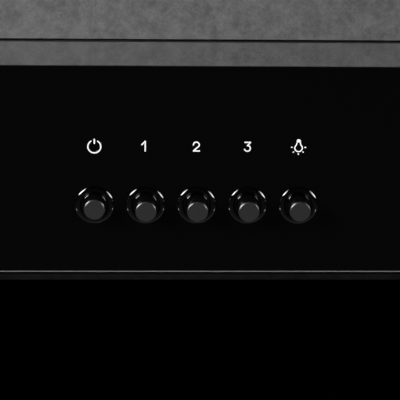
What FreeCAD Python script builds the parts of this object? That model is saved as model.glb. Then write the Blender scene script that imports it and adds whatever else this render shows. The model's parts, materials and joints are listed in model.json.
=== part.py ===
import FreeCAD, Part
import math
import os
import re
import Sketcher
from FreeCAD import Placement, Rotation, Vector

# A T-shaped chimney range hood: a flat canopy with a leaning black glass fascia,
# five push keys in its middle, grease filters below, and a blower inside a
# telescopic chimney. X runs along the wall, -Y comes out of it, +Z is up. The
# origin is midway between the two wall hooks' screws, on the wall.

os.makedirs("parts", exist_ok=True)
doc = FreeCAD.newDocument("chimney_hood")

# ---------------------------------------------------------------- dimensions

DRIVING = {
    "canopy_width": 900, "canopy_depth": 500, "canopy_drop": 110, "sheet_steel": 1.2,
    "rim_flange": 10, "tray_upstand": 10, "corner_screw_inset": 30, "flange_end_gap": 3,
    "tray_clearance": 0.4, "tray_front_gap": 2,
    "screw_clearance": 0.2, "screw_fit": 0.05, "screw_tip_gap": 0.1,
    "fascia_tilt": 10.5, "glass_height": 84, "glass_thick": 4, "glass_arris": 0.7, "tape_thick": 0.5,
    "top_gap": 0.1, "channel_top_gap": 2.6,
    "lip_gap": 0.9, "lip_height": 2.2, "lip_setback": 0.3, "channel_return": 9,
    "key_count": 5, "key_pitch": 20, "key_rise": 28.2,
    "collar_radius": 7.5, "collar_bore": 4.45, "collar_sleeve": 5.7, "collar_bead": 1.0,
    "collar_floor": 0.35, "collar_depth": 8.5, "collar_clearance": 0.3,
    "bead_round": 2.0, "crest_setback": 1.36, "bead_run": 0.94,
    "step_land": 0.15, "step_run": 0.1, "step_rise": 0.07,
    "cap_radius": 4.1, "cap_proud": 9.5, "cap_length": 17.5, "cap_chamfer": 0.35,
    "cap_socket": 2.0, "cap_socket_depth": 5,
    "power_latched": 2.5, "light_set_in": 0.5,
    "plunger_radius": 2.5, "plunger_length": 30, "plunger_clearance": 0.05, "plunger_chamfer": 1,
    "bank_front": 14, "bank_depth": 32, "bank_height": 16, "bank_margin": 12,
    "bank_side_gap": 2, "groove_half": 1, "groove_inset": 4, "groove_depth": 3,
    "bracket_sheet": 1.2, "bracket_foot": 10, "bracket_height": 24, "bracket_hole": 3.4,
    "cover_width": 176, "cover_height": 36, "cover_depth": 52, "cover_wall": 1.5, "cover_corner": 3,
    "filter_count": 3, "filter_side_gap": 12.8, "filter_lamp_gap": 25, "filter_thick": 9,
    "filter_clearance": 1.5, "filter_rim": 13, "filter_front_rim": 26, "filter_skin": 1,
    "filter_bar": 6, "filter_bars": 2, "filter_rear_gap": 44, "filter_tab": 8, "filter_tab_width": 34,
    "filter_tab_spacing": 170, "tab_thick": 1.5, "tab_clearance": 0.3,
    "filter_bridge": 4, "filter_corner": 3, "mesh_thick": 2, "mesh_grip": 3, "mesh_clearance": 0.2,
    "latch_width": 58, "latch_depth": 9, "latch_throw": 6, "latch_clearance": 0.4,
    "latch_nose": 22, "latch_setback": 5, "latch_corner": 1, "latch_wall": 4, "latch_floor": 2,
    "nose_rise": 3, "nose_thick": 3, "nose_gap": 0.3,
    "lamp_side": 170, "lamp_setback": 50, "lamp_radius": 34, "lamp_hole": 29,
    "lamp_lens": 26.5, "lamp_lip": 1.0, "lamp_sleeve": 7, "lamp_body_height": 16,
    "lamp_clearance": 0.3, "lamp_edge": 1.5, "lens_gap": 0.1, "lens_thick": 1.6, "lens_air": 0.6,
    "lamp_bevel": 3,
    "box_width": 280, "box_depth": 250, "box_height": 236, "box_back_gap": 8,
    "intake_width": 240, "intake_depth": 206, "slot_margin": 2, "slot_height": 16, "box_foot": 7,
    "scroll_height": 110, "scroll_width": 126, "scroll_wall": 2, "scroll_start": 84,
    "scroll_growth": 20, "scroll_mouth": 62, "duct_depth": 124, "scroll_shift": 20, "tongue_rise": 85,
    "tongue_turn": 38.5, "bell_width": 4, "bell_depth": 5, "bell_round": 3.5,
    "seam_reach": 4, "seam_thick": 2,
    "impeller_radius": 76, "blade_chord": 13, "blade_lean": 3.25, "blade_bow": 1, "blade_inset": 0.25,
    "blade_sheet": 0.8, "blade_count": 36,
    "impeller_width": 104, "impeller_ring": 2, "ring_margin": 0.8, "hub_plate": 2, "hub_radius": 14,
    "hub_length": 16,
    "shaft_radius": 4, "shaft_clearance": 0.04, "motor_radius": 38, "motor_length": 58,
    "motor_round": 4, "motor_boss": 11, "boss_proud": 3, "shaft_end_gap": 6, "bore_floor": 4,
    "belt_start": 20, "belt_width": 18, "belt_depth": 1.5,
    "motor_gap": 9, "bracket_ring": 6, "bracket_arm": 12, "bracket_plate": 2, "clamp_width": 14,
    "arm_count": 3, "arm_turn": 90,
    "bush_offset": 8, "bush_land": 1, "bush_radius": 6,
    "bush_height": 6, "bush_neck": 3, "bush_neck_start": 4,
    "guard_wire": 2.4, "guard_sheet": 1.2, "guard_rings": 4, "guard_margin": 2, "spoke_count": 3,
    "duct_radius": 75, "duct_wall": 1.5, "duct_length": 62, "duct_flange": 84,
    "duct_flange_thick": 2, "duct_flange_corner": 8, "ledge_thick": 2, "ledge_width": 3, "ledge_gap": 0.3,
    "bar_width": 3, "bar_rise": 4, "ear_inset": 6, "ear_thick": 3,
    "flap_thick": 1.2, "flap_rise": 14, "flap_clearance": 1.2, "flap_pin": 1.5,
    "flap_knuckle": 3, "flap_pin_offset": 5, "flap_end_gap": 0.5, "flap_notch": 2,
    "chimney_side_gap": 10, "chimney_front_gap": 23.6, "chimney_foot_gap": 0.8, "chimney_height": 420,
    "chimney_sheet": 1,
    "chimney_return": 12, "chimney_slip": 0.4, "chimney_wall_gap": 1, "chimney_shown": 250,
    "vent_count": 6, "vent_width": 84, "vent_height": 5, "vent_pitch": 12, "vent_drop": 38,
    "wall_bracket_height": 30, "wall_bracket_sheet": 1.5, "wall_bracket_tab": 18,
    "bracket_slip": 0.1, "bracket_return_gap": 1, "side_screw_length": 5,
    "hook_spacing": 200, "hook_width": 44, "hook_height": 60, "hook_sheet": 2, "hook_arm": 22,
    "hook_tip": 9, "hook_rise": 24, "wall_screw": 3,
    "small_screw": 1.7, "small_head": 3.2, "small_head_height": 2, "small_head_round": 1.2,
    "terminal_width": 96, "terminal_depth": 54, "terminal_height": 34, "terminal_wall": 2,
    "terminal_side": 142.8, "terminal_setback": 70,
    "gland_radius": 8, "gland_bore": 4, "gland_length": 22, "gland_nut": 11, "gland_nut_height": 7,
    "gland_taper": 2, "gland_inset": 40, "terminal_corner": 3,
    "capacitor_radius": 14, "capacitor_length": 58, "capacitor_gap": 2, "capacitor_rise": 30,
    "capacitor_round": 2,
}

sheet = doc.addObject("Spreadsheet::Sheet", "dims")
for row, (alias, value) in enumerate(DRIVING.items(), start=1):
    sheet.set(f"A{row}", alias)
    sheet.set(f"B{row}", str(value))
    sheet.setAlias(f"B{row}", alias)
doc.recompute()

# Places worked out from the driving dimensions, in the hood's frame. The fascia's
# own frame has its origin at the glass's lower front edge: Y runs inward through
# the glass, and Z up along the slope.
PLACES = {
    "top_under": "-dims.canopy_drop - dims.sheet_steel",
    "foot_y": "-dims.canopy_depth + dims.glass_height * sin(dims.fascia_tilt)",
    "foot_z": "-dims.canopy_drop - dims.glass_height * cos(dims.fascia_tilt)",
    "top_front": "-dims.canopy_depth + dims.glass_thick / cos(dims.fascia_tilt)"
                 " + dims.sheet_steel * tan(dims.fascia_tilt) + dims.top_gap",
    "channel_front": "dims.glass_thick + dims.tape_thick",
    "channel_back": "channel_front + dims.sheet_steel",
    "lip_low": "-dims.lip_gap - dims.lip_height",
    "rim_low": "foot_z + lip_low * cos(dims.fascia_tilt)",
    "tray_low": "rim_low + dims.sheet_steel",
    "tray_top": "tray_low + dims.sheet_steel",
    "inner_half": "dims.canopy_width / 2 - dims.sheet_steel",
    "key_first": "-(dims.key_count - 1) / 2 * dims.key_pitch",
    "bracket_half": "(dims.key_count - 1) / 2 * dims.key_pitch + dims.bank_margin + dims.bank_side_gap",
    "filter_rear": "-dims.filter_rear_gap",
    "filter_between": "2 * dims.filter_clearance + dims.filter_bridge",
    "filter_width": "(2 * (inner_half - dims.filter_side_gap) - (dims.filter_count - 1) * filter_between)"
                    " / dims.filter_count",
    "filter_pitch": "filter_width + filter_between",
    "filter_hinge_z": "tray_top + dims.tab_clearance",
    "lamp_y": "foot_y + dims.lamp_setback",
    "lamp_x": "dims.canopy_width / 2 - dims.lamp_side",
    "filter_depth": "filter_rear - dims.filter_clearance - lamp_y - dims.lamp_radius - dims.filter_lamp_gap",
    "terminal_x": "inner_half - dims.terminal_side - dims.terminal_width",
    "box_back": "-dims.box_back_gap",
    "box_front": "box_back - dims.box_depth",
    "box_middle": "box_back - dims.box_depth / 2",
    "box_low": "-dims.canopy_drop",
    "box_high": "box_low + dims.box_height",
    "axle_z": "box_low + dims.scroll_height",
    "chimney_width": "dims.box_width + 2 * dims.chimney_side_gap",
    "chimney_front": "box_front - dims.chimney_front_gap",
    "chimney_low": "dims.chimney_foot_gap - dims.canopy_drop",
    "upper_top": "-dims.canopy_drop + dims.chimney_height + dims.chimney_shown",
    "upper_low": "upper_top - dims.chimney_height",
    "upper_inset": "dims.chimney_sheet + dims.chimney_slip",
}


def qualified(formula):
    """The formula with each bare place name sent to the sheet of places."""
    names = "|".join(PLACES)
    return re.sub(rf"(?<![\w.])({names})(?!\w)", r"places.\1", formula)


places = doc.addObject("Spreadsheet::Sheet", "places")
for row, (alias, formula) in enumerate(PLACES.items(), start=1):
    places.set(f"A{row}", alias)
    places.set(f"B{row}", "=" + formula)
    places.setAlias(f"B{row}", alias)
doc.recompute()


def number(formula):
    """The value of a formula over the two sheets, as a plain number."""
    value = sheet.evalExpression(qualified(str(formula)))
    return float(getattr(value, "Value", value))


def size(alias):
    return float(sheet.get(alias))


NEAR = 0.01  # two places this close count as one
PAST = 1  # how far a cutting solid reaches past the face that it opens
QUARTER = 0.25


# ------------------------------------------------------------- sketch helpers

def origin_plane(body, role):
    return next(item for item in body.Origin.OriginFeatures if item.Role == role)


def bind(thing, path, formula):
    thing.setExpression(path, qualified(str(formula)))


def new_body(name, frame=None):
    """A body named after its node. The frame "fascia" leans it with the glass."""
    body = doc.addObject("PartDesign::Body", name)
    body.Label = name
    if frame == "fascia":
        body.Placement = Placement(Vector(0, 0, 0), Rotation(Vector(1, 0, 0), size("fascia_tilt")))
        bind(body, ".Placement.Rotation.Angle", "dims.fascia_tilt")
        bind(body, ".Placement.Base.y", "foot_y")
        bind(body, ".Placement.Base.z", "foot_z")
    return body


def new_sketch(body, role, lift=0):
    """A sketch on one of the body's origin planes, raised along its normal."""
    sketch = body.newObject("Sketcher::SketchObject", "outline")
    sketch.AttachmentSupport = [(origin_plane(body, role), "")]
    sketch.MapMode = "FlatFace"
    bind(sketch, ".AttachmentOffset.Base.z", lift)
    return sketch


def pin_point(sketch, geometry, corner, x, y):
    """Hold one point of the sketch at the two formulas."""
    for kind, formula in (("DistanceX", x), ("DistanceY", y)):
        rule = Sketcher.Constraint(kind, -1, 1, geometry, corner, number(formula))
        bind(sketch, f"Constraints[{sketch.addConstraint(rule)}]", formula)


def draw_polygon(sketch, points):
    corners = [Vector(number(x), number(y), 0) for x, y in points]
    first = sketch.GeometryCount
    count = len(corners)
    for index in range(count):
        sketch.addGeometry(Part.LineSegment(corners[index], corners[(index + 1) % count]), False)
    for index in range(count):
        following = first + (index + 1) % count
        sketch.addConstraint(Sketcher.Constraint("Coincident", first + index, 2, following, 1))
    for index, (x, y) in enumerate(points):
        pin_point(sketch, first + index, 1, x, y)


def draw_rectangle(sketch, left, right, low, high):
    draw_polygon(sketch, [(left, low), (right, low), (right, high), (left, high)])


def draw_circle(sketch, x, y, radius):
    circle = Part.Circle(Vector(number(x), number(y), 0), Vector(0, 0, 1), number(radius))
    index = sketch.addGeometry(circle, False)
    pin_point(sketch, index, 3, x, y)
    rule = Sketcher.Constraint("Radius", index, number(radius))
    bind(sketch, f"Constraints[{sketch.addConstraint(rule)}]", radius)


def add_feature(body, kind, sketch, length, reverse=False, symmetric=False):
    feature = body.newObject(kind, "step")
    feature.Profile = sketch
    feature.SideType = "Symmetric" if symmetric else "One side"
    bind(feature, "Length", length)
    feature.Reversed = reverse
    sketch.Visibility = False
    return feature


def pad(body, sketch, length, **options):
    return add_feature(body, "PartDesign::Pad", sketch, length, **options)


def pocket(body, sketch, length, **options):
    """Cut the sketch into the body, and make sure that it cut something."""
    doc.recompute()
    before = body.Shape.Volume
    feature = add_feature(body, "PartDesign::Pocket", sketch, length, **options)
    doc.recompute()
    if body.Shape.Volume >= before:
        raise ValueError(f"{body.Label}: a pocket cut nothing")
    return feature


def row_of(body, feature, role, pitch, count):
    """Repeat a feature along one of the body's origin axes."""
    pattern = body.newObject("PartDesign::LinearPattern", "row")
    pattern.Originals = [feature]
    pattern.Direction = (origin_plane(body, role), [""])
    pattern.Mode = "Spacing"
    bind(pattern, "Offset", pitch)
    bind(pattern, "Occurrences", count)
    body.Tip = pattern
    return pattern


def edges_at(shape, test):
    """Names of the shape's edges whose middle point passes the test."""
    names = []
    for index, edge in enumerate(shape.Edges, start=1):
        middle = edge.valueAt((edge.FirstParameter + edge.LastParameter) / 2)
        if test(edge, middle):
            names.append(f"Edge{index}")
    return names


def dress(body, kind, length, test):
    """A fillet or chamfer on the edges of the body that pass the test."""
    doc.recompute()
    base = body.Tip
    names = edges_at(base.Shape, test)
    feature = body.newObject(kind, "dressed")
    feature.Base = (base, names)
    bind(feature, "Radius" if kind == "PartDesign::Fillet" else "Size", length)
    return feature


def fascia_frame():
    """The placement that leans a solid with the glass."""
    return Placement(Vector(0, number("foot_y"), number("foot_z")),
                     Rotation(Vector(1, 0, 0), size("fascia_tilt")))


def solid_node(name, shape, placement=None):
    """A node whose solid is shaped here, from sizes read off the sheets."""
    node = doc.addObject("Part::Feature", name)
    node.Label = name
    node.Shape = shape
    if placement:
        node.Placement = placement
    return node


def box_between(low, high):
    low, high = Vector(*low), Vector(*high)
    span = high - low
    return Part.makeBox(span.x, span.y, span.z, low)


# --------------------------------------------------------------------- canopy

def make_top_panel():
    body = new_body("canopy_top_panel")
    outline = new_sketch(body, "XY_Plane", "-dims.canopy_drop")
    draw_rectangle(outline, "-dims.canopy_width / 2", "dims.canopy_width / 2", "top_front", "0")
    draw_rectangle(outline, "-dims.intake_width / 2", "dims.intake_width / 2",
                   "box_middle - dims.intake_depth / 2", "box_middle + dims.intake_depth / 2")
    pad(body, outline, "dims.sheet_steel", reverse=True)


SLOPE_Y = "foot_y + channel_front * cos(dims.fascia_tilt)"
SLOPE_Z = "foot_z + channel_front * sin(dims.fascia_tilt)"


def slope_at(height):
    """The Y of the glass's rear plane at a height, as a formula."""
    return f"{SLOPE_Y} - ({height} - ({SLOPE_Z})) * tan(dims.fascia_tilt)"


def make_side_panel(name, side):
    body = new_body(name)
    outline = new_sketch(body, "YZ_Plane", "inner_half" if side > 0 else "-inner_half")
    draw_polygon(outline, [("0", "rim_low"), ("0", "top_under"), (slope_at("top_under"), "top_under"),
                           (slope_at("rim_low"), "rim_low")])
    pad(body, outline, "dims.sheet_steel", reverse=side < 0)
    flange = new_sketch(body, "XY_Plane", "rim_low")
    edges = ["inner_half", "inner_half - dims.rim_flange"]
    if side < 0:
        edges = ["-inner_half + dims.rim_flange", "-inner_half"]
    draw_rectangle(flange, edges[1], edges[0],
                   slope_at("rim_low") + " + dims.channel_return + dims.flange_end_gap",
                   "-dims.sheet_steel - dims.rim_flange")
    pad(body, flange, "dims.sheet_steel")
    screws = new_sketch(body, "XY_Plane", "rim_low")
    middle = "(inner_half - dims.rim_flange / 2)" if side > 0 else "-(inner_half - dims.rim_flange / 2)"
    for y in ("-dims.corner_screw_inset", "lamp_y"):
        draw_circle(screws, middle, y, "dims.small_screw + dims.screw_clearance")
    pocket(body, screws, "dims.sheet_steel", reverse=True)


def make_back_panel():
    body = new_body("canopy_back_panel")
    outline = new_sketch(body, "YZ_Plane")
    draw_polygon(outline, [("0", "rim_low"), ("0", "top_under"), ("-dims.sheet_steel", "top_under"),
                           ("-dims.sheet_steel", "tray_low"),
                           ("-dims.sheet_steel - dims.rim_flange", "tray_low"),
                           ("-dims.sheet_steel - dims.rim_flange", "rim_low")])
    pad(body, outline, "2 * inner_half", symmetric=True)


def make_front_channel():
    """The folded carrier behind the glass. Its lower lip runs on under the glass."""
    body = new_body("front_channel", "fascia")
    outline = new_sketch(body, "YZ_Plane")
    draw_polygon(outline, [
        ("dims.lip_setback", "lip_low"),
        ("channel_back + dims.channel_return", "lip_low"),
        ("channel_back + dims.channel_return", "lip_low + dims.sheet_steel"),
        ("channel_back", "lip_low + dims.sheet_steel"),
        ("channel_back", "dims.glass_height - dims.channel_top_gap"),
        ("channel_front", "dims.glass_height - dims.channel_top_gap"),
        ("channel_front", "-dims.lip_gap"),
        ("dims.lip_setback", "-dims.lip_gap")])
    pad(body, outline, "2 * inner_half", symmetric=True)
    hole = new_sketch(body, "XZ_Plane", "-channel_front")
    draw_circle(hole, "key_first", "dims.key_rise", "dims.collar_sleeve + dims.collar_clearance")
    row_of(body, pocket(body, hole, "dims.sheet_steel"), "X_Axis", "dims.key_pitch", "dims.key_count")
    doc.recompute()
    feet = new_sketch(body, "XZ_Plane", "-channel_front")
    for side in ("-", ""):
        for height in ("-", "+"):
            draw_circle(feet, f"{side}(bracket_half + dims.bracket_foot / 2)",
                        f"dims.key_rise {height} dims.bracket_height / 4", "dims.small_screw")
    pocket(body, feet, "dims.sheet_steel")


def make_control_glass():
    body = new_body("control_glass", "fascia")
    outline = new_sketch(body, "XZ_Plane")
    draw_rectangle(outline, "-dims.canopy_width / 2", "dims.canopy_width / 2", "0", "dims.glass_height")
    pad(body, outline, "dims.glass_thick", reverse=True)
    mitre = new_sketch(body, "YZ_Plane")
    low_corner = "dims.glass_height - dims.glass_thick * tan(dims.fascia_tilt)"
    draw_polygon(mitre, [("0", "dims.glass_height"), ("dims.glass_thick", "dims.glass_height"),
                         ("dims.glass_thick", low_corner)])
    pocket(body, mitre, "dims.canopy_width", symmetric=True)
    dress(body, "PartDesign::Chamfer", "dims.glass_arris",
          lambda edge, middle: abs(middle.y) < NEAR and abs(middle.z) < size("glass_height") - NEAR)
    hole = new_sketch(body, "XZ_Plane")
    draw_circle(hole, "key_first", "dims.key_rise", "dims.collar_sleeve + dims.collar_clearance")
    row_of(body, pocket(body, hole, "dims.glass_thick"), "X_Axis", "dims.key_pitch", "dims.key_count")


def make_suction_frame():
    """The tray that closes the canopy below, with its filter and lamp openings."""
    body = new_body("suction_frame")
    front = slope_at("tray_low") + " + dims.sheet_steel + dims.channel_return + dims.tray_front_gap"
    half = "(inner_half - dims.tray_clearance)"
    rear = "-dims.sheet_steel - dims.tray_clearance"
    outline = new_sketch(body, "XY_Plane", "tray_low")
    draw_rectangle(outline, f"-{half}", half, front, rear)
    pad(body, outline, "dims.sheet_steel")
    upstand = new_sketch(body, "XY_Plane", "tray_low")
    draw_rectangle(upstand, f"-{half}", half, front, rear)
    draw_rectangle(upstand, f"-{half} + dims.sheet_steel", f"{half} - dims.sheet_steel",
                   f"{front} + dims.sheet_steel", f"{rear} - dims.sheet_steel")
    pad(body, upstand, "dims.tray_upstand")
    openings = new_sketch(body, "XY_Plane", "tray_low")
    reach = "(filter_width / 2 + dims.filter_clearance)"
    draw_rectangle(openings, f"-filter_pitch - {reach}", f"-filter_pitch + {reach}",
                   "filter_rear - filter_depth - 2 * dims.filter_clearance", "filter_rear")
    cut = pocket(body, openings, "dims.sheet_steel", reverse=True)
    row_of(body, cut, "X_Axis", "filter_pitch", "dims.filter_count")
    doc.recompute()
    lamps = new_sketch(body, "XY_Plane", "tray_low")
    for side in ("-", ""):
        draw_circle(lamps, f"{side}lamp_x", "lamp_y", "dims.lamp_hole + dims.lamp_clearance")
        for y in ("-dims.corner_screw_inset", "lamp_y"):
            draw_circle(lamps, f"{side}(inner_half - dims.rim_flange / 2)", y,
                        "dims.small_screw + dims.screw_clearance")
    pocket(body, lamps, "dims.sheet_steel", reverse=True)


# ------------------------------------------------------------------- controls

def turned(profile):
    """A solid of revolution about the fascia's inward axis, from (radius, depth) points."""
    points = [Vector(radius, depth, 0) for radius, depth in profile]
    face = Part.Face(Part.makePolygon(points + points[:1]))
    return face.revolve(Vector(0, 0, 0), Vector(0, 1, 0), 360)


def key_places():
    """The five key axes, from left to right, in the fascia's frame."""
    first = number("key_first")
    return [Vector(first + index * size("key_pitch"), 0, size("key_rise"))
            for index in range(int(size("key_count")))]


def make_collars():
    """Five bezel rings: a sleeve through the glass, a broad round bead and a stepped mouth."""
    outer, bore, sleeve = size("collar_radius"), size("collar_bore"), size("collar_sleeve")
    bead, rounding, depth = size("collar_bead"), size("bead_round"), size("collar_depth")
    land, run, rise, floor = size("step_land"), size("step_run"), size("step_rise"), size("collar_floor")
    crest = outer - size("crest_setback")

    def bead_at(radius):
        """The point of the bead's face at a radius."""
        drop = rounding - math.sqrt(rounding ** 2 - (radius - crest) ** 2)
        return Vector(radius, drop - bead, 0)

    mouth, foot = bead_at(crest - size("bead_run")), bead_at(outer)
    points = [foot, Vector(outer, 0, 0), Vector(sleeve, 0, 0), Vector(sleeve, depth, 0),
              Vector(bore, depth, 0), Vector(bore, -floor - 2 * rise, 0),
              Vector(bore + land, -floor - 2 * rise, 0), Vector(bore + land + run, -floor - rise, 0),
              Vector(bore + 2 * land + run, -floor - rise, 0),
              Vector(bore + 2 * (land + run), -floor, 0), Vector(mouth.x - run, -floor, 0), mouth]
    edges = [Part.makeLine(first, second) for first, second in zip(points, points[1:])]
    edges.append(Part.Arc(mouth, bead_at(crest), foot).toShape())
    ring_solid = Part.Face(Part.Wire(edges)).revolve(Vector(0, 0, 0), Vector(0, 1, 0), 360)
    rings = []
    for place in key_places():
        copy = ring_solid.copy()
        copy.translate(place)
        rings.append(copy)
    solid_node("button_collars", Part.makeCompound(rings), fascia_frame())


KEYS = ["power", "speed_1", "speed_2", "speed_3", "light"]


def key_set_in(key):
    """How deep a key stands at rest: the power key is latched, the light key a little in."""
    return {"power": size("power_latched"), "light": size("light_set_in")}.get(key, 0)


def make_keys():
    radius, chamfer, proud = size("cap_radius"), size("cap_chamfer"), size("cap_proud")
    back = size("cap_length") - proud
    socket, socket_depth = size("cap_socket"), size("cap_socket_depth")
    fit = size("plunger_clearance")
    cap = turned([(0, -proud), (radius - chamfer, -proud), (radius, -proud + chamfer), (radius, back),
                  (socket, back), (socket, back - socket_depth), (0, back - socket_depth)])
    stub, end, taper = socket - fit, back + size("plunger_length"), size("plunger_chamfer")
    plunger = turned([(0, back - socket_depth + fit), (stub, back - socket_depth + fit), (stub, back),
                      (size("plunger_radius"), back), (size("plunger_radius"), end - taper),
                      (size("plunger_radius") - taper, end), (0, end)])
    for key, place in zip(KEYS, key_places()):
        set_in = Placement(place + Vector(0, key_set_in(key), 0), Rotation())
        for kind, shape in (("button_cap", cap), ("plunger", plunger)):
            solid_node(f"{kind}_{key}", shape, fascia_frame().multiply(set_in))


def make_switch_bank():
    """The block of latching switches that the plungers run in."""
    body = new_body("switch_bank", "fascia")
    half = "((dims.key_count - 1) / 2 * dims.key_pitch + dims.bank_margin)"
    outline = new_sketch(body, "XZ_Plane", "-dims.bank_front")
    draw_rectangle(outline, f"-{half}", half, "dims.key_rise - dims.bank_height / 2",
                   "dims.key_rise + dims.bank_height / 2")
    pad(body, outline, "dims.bank_depth", reverse=True)
    bore = new_sketch(body, "XZ_Plane", "-dims.bank_front")
    draw_circle(bore, "key_first", "dims.key_rise", "dims.plunger_radius + dims.plunger_clearance")
    row_of(body, pocket(body, bore, "dims.bank_depth"), "X_Axis", "dims.key_pitch", "dims.key_count")
    doc.recompute()
    groove = new_sketch(body, "XY_Plane", "dims.key_rise + dims.bank_height / 2")
    draw_rectangle(groove, f"key_first + dims.key_pitch / 2 - dims.groove_half",
                   "key_first + dims.key_pitch / 2 + dims.groove_half", "dims.bank_front + dims.groove_inset",
                   "dims.bank_front + dims.bank_depth - dims.groove_inset")
    cut = pocket(body, groove, "dims.groove_depth")
    row_of(body, cut, "X_Axis", "dims.key_pitch", "dims.key_count - 1")


def make_switch_bracket():
    """A hat-shaped plate that carries the switch bank behind the channel."""
    body = new_body("switch_bracket", "fascia")
    outline = new_sketch(body, "XY_Plane", "dims.key_rise - dims.bracket_height / 2")
    face = "dims.bank_front - dims.bracket_sheet"
    left = [("-bracket_half - dims.bracket_foot", "channel_back"),
            ("-bracket_half - dims.bracket_foot", "channel_back + dims.bracket_sheet"),
            ("-bracket_half - dims.bracket_sheet", "channel_back + dims.bracket_sheet"),
            ("-bracket_half - dims.bracket_sheet", "dims.bank_front"),
            ("bracket_half + dims.bracket_sheet", "dims.bank_front"),
            ("bracket_half + dims.bracket_sheet", "channel_back + dims.bracket_sheet"),
            ("bracket_half + dims.bracket_foot", "channel_back + dims.bracket_sheet"),
            ("bracket_half + dims.bracket_foot", "channel_back"),
            ("bracket_half", "channel_back"), ("bracket_half", face),
            ("-bracket_half", face), ("-bracket_half", "channel_back")]
    draw_polygon(outline, left)
    pad(body, outline, "dims.bracket_height")
    hole = new_sketch(body, "XZ_Plane", f"-({face})")
    draw_circle(hole, "key_first", "dims.key_rise", "dims.bracket_hole")
    row_of(body, pocket(body, hole, "dims.bracket_sheet"), "X_Axis", "dims.key_pitch", "dims.key_count")
    doc.recompute()
    feet = new_sketch(body, "XZ_Plane", "-channel_back")
    for side in ("-", ""):
        for height in ("-", "+"):
            draw_circle(feet, f"{side}(bracket_half + dims.bracket_foot / 2)",
                        f"dims.key_rise {height} dims.bracket_height / 4", "dims.small_screw")
    pocket(body, feet, "dims.bracket_sheet")


def screw_shape(radius, length, head_radius, head_height):
    """A pan-head screw along +Y: its head below Y 0, and its shank above."""
    shank = Part.makeCylinder(radius, length, Vector(0, 0, 0), Vector(0, 1, 0))
    head = Part.makeCylinder(head_radius, head_height, Vector(0, -head_height, 0), Vector(0, 1, 0))
    rim = [edge for edge in head.Edges if abs(edge.BoundBox.YMin + head_height) < NEAR
           and abs(edge.BoundBox.YMax + head_height) < NEAR]
    head = head.makeFillet(size("small_head_round"), rim)
    return shank.fuse(head)


def screw_group(name, screw, places_and_turns, placement=None):
    copies = []
    for place, turn in places_and_turns:
        copy = screw.copy()
        copy.Placement = Placement(place, turn)
        copies.append(copy)
    solid_node(name, Part.makeCompound(copies), placement)


def make_bracket_screws():
    back = number("channel_back") + size("bracket_sheet")
    grip = back - number("channel_front") - size("screw_tip_gap")
    screw = screw_shape(size("small_screw") - size("screw_fit"), grip, size("small_head"),
                        size("small_head_height"))
    half = number("bracket_half") + size("bracket_foot") / 2
    turn = Rotation(Vector(1, 0, 0), 180)
    spots = [(Vector(side * half, back, size("key_rise") + step * size("bracket_height") / 4), turn)
             for side in (-1, 1) for step in (-1, 1)]
    screw_group("bracket_screws", screw, spots, fascia_frame())


def make_control_cover():
    """The splash cover over the switches, open towards the channel."""
    width, height, depth = size("cover_width"), size("cover_height"), size("cover_depth")
    wall, back, rise = size("cover_wall"), number("channel_back"), size("key_rise")
    outer = box_between((-width / 2, back, rise - height / 2), (width / 2, back + depth, rise + height / 2))
    corners = [edge for edge in outer.Edges if abs(edge.BoundBox.YLength - depth) < NEAR]
    outer = outer.makeFillet(size("cover_corner"), corners)
    inner = box_between((-width / 2 + wall, back - PAST, rise - height / 2 + wall),
                        (width / 2 - wall, back + depth - wall, rise + height / 2 - wall))
    solid_node("control_cover", outer.cut(inner), fascia_frame())


# --------------------------------------------------------------- filters

FILTERS = ["left", "middle", "right"]


def filter_centre(index):
    return (index - (size("filter_count") - 1) / 2) * number("filter_pitch")


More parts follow.
